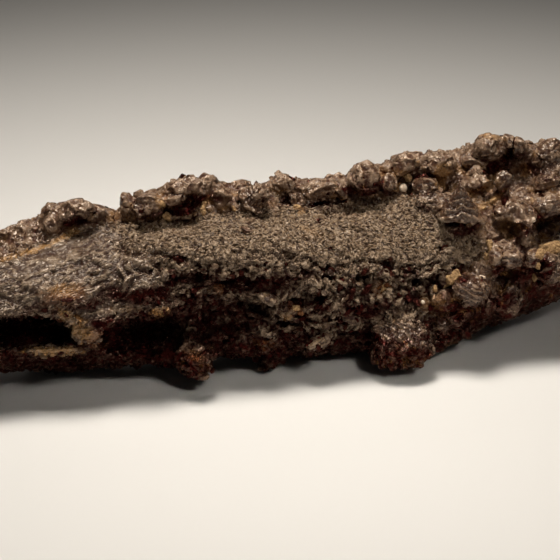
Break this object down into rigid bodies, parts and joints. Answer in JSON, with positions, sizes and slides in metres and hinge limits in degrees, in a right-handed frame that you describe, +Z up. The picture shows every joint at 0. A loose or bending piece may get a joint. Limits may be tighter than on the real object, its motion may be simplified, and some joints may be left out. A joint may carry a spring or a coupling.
{
  "type": "prophecy stone",
  "caption": "Rod-shaped nodule of dark iron oxide with a lumpy crystal crust, a knobbly strand along its top and hollows under its front, lying on a surface.",
  "frame": {"origin": "Centre of the bounding box at its bottom, on the surface the stone lies on.", "axes": "+X along the rod, towards its thicker, more lumpy end; -Y towards the front with the hollows; +Z up."},
  "size_m": [0.129, 0.0314, 0.035],
  "materials": {
    "iron_oxide": "satin"
  },
  "bodies": {
    "root": {"prophecy_stone": "iron_oxide"}
  },
  "joints": []
}
